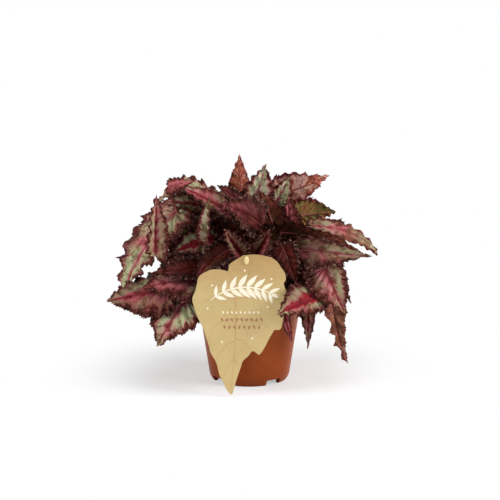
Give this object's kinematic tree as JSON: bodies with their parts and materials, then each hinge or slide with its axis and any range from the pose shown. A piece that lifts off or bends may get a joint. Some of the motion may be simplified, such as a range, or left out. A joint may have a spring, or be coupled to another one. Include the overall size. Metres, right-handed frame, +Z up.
{
  "type": "potted begonia",
  "caption": "Leafy rex-type begonia rooted in a round plastic nursery pot, with a leaf-shaped card label hung in front on a stake.",
  "frame": {"origin": "centre of the pot's foot, on the surface it stands on", "axes": "+Z up the pot's axis, -Y towards the side the label faces, +X to the right as the label is looked at"},
  "size_m": [0.299, 0.218, 0.247],
  "materials": {
    "pot_plastic": "smooth terracotta-coloured moulded plastic",
    "soil": "dark, damp peat-based potting soil",
    "rootstock": "scaly reddish-brown plant tissue",
    "label_card": "uncoated kraft-coloured card",
    "stake_plastic": "plain beige plastic",
    "leaf": "quilted leaf, crimson to silver-green above and rusty red beneath"
  },
  "bodies": {
    "root": {"pot": "pot_plastic", "soil": "soil", "rootstock": "rootstock", "label": "label_card", "label_stake": "stake_plastic", "leaf_01": "leaf", "leaf_02": "leaf", "leaf_03": "leaf", "leaf_04": "leaf", "leaf_05": "leaf", "leaf_06": "leaf", "leaf_07": "leaf", "leaf_08": "leaf", "leaf_09": "leaf", "leaf_10": "leaf", "leaf_11": "leaf", "leaf_12": "leaf", "leaf_13": "leaf", "leaf_14": "leaf", "leaf_15": "leaf", "leaf_16": "leaf", "leaf_17": "leaf", "leaf_18": "leaf", "leaf_19": "leaf", "leaf_20": "leaf", "leaf_21": "leaf", "leaf_22": "leaf", "leaf_23": "leaf", "leaf_24": "leaf", "leaf_25": "leaf", "leaf_26": "leaf", "leaf_27": "leaf", "leaf_28": "leaf", "leaf_29": "leaf", "leaf_30": "leaf", "leaf_31": "leaf", "leaf_32": "leaf", "leaf_33": "leaf", "leaf_34": "leaf", "leaf_35": "leaf", "leaf_36": "leaf", "leaf_37": "leaf", "leaf_38": "leaf", "leaf_39": "leaf", "leaf_40": "leaf", "leaf_41": "leaf", "leaf_42": "leaf", "leaf_43": "leaf", "leaf_44": "leaf", "leaf_45": "leaf", "leaf_46": "leaf", "leaf_47": "leaf", "leaf_48": "leaf", "leaf_49": "leaf", "leaf_50": "leaf", "leaf_51": "leaf", "leaf_52": "leaf", "leaf_53": "leaf", "leaf_54": "leaf", "leaf_55": "leaf"}
  },
  "joints": []
}
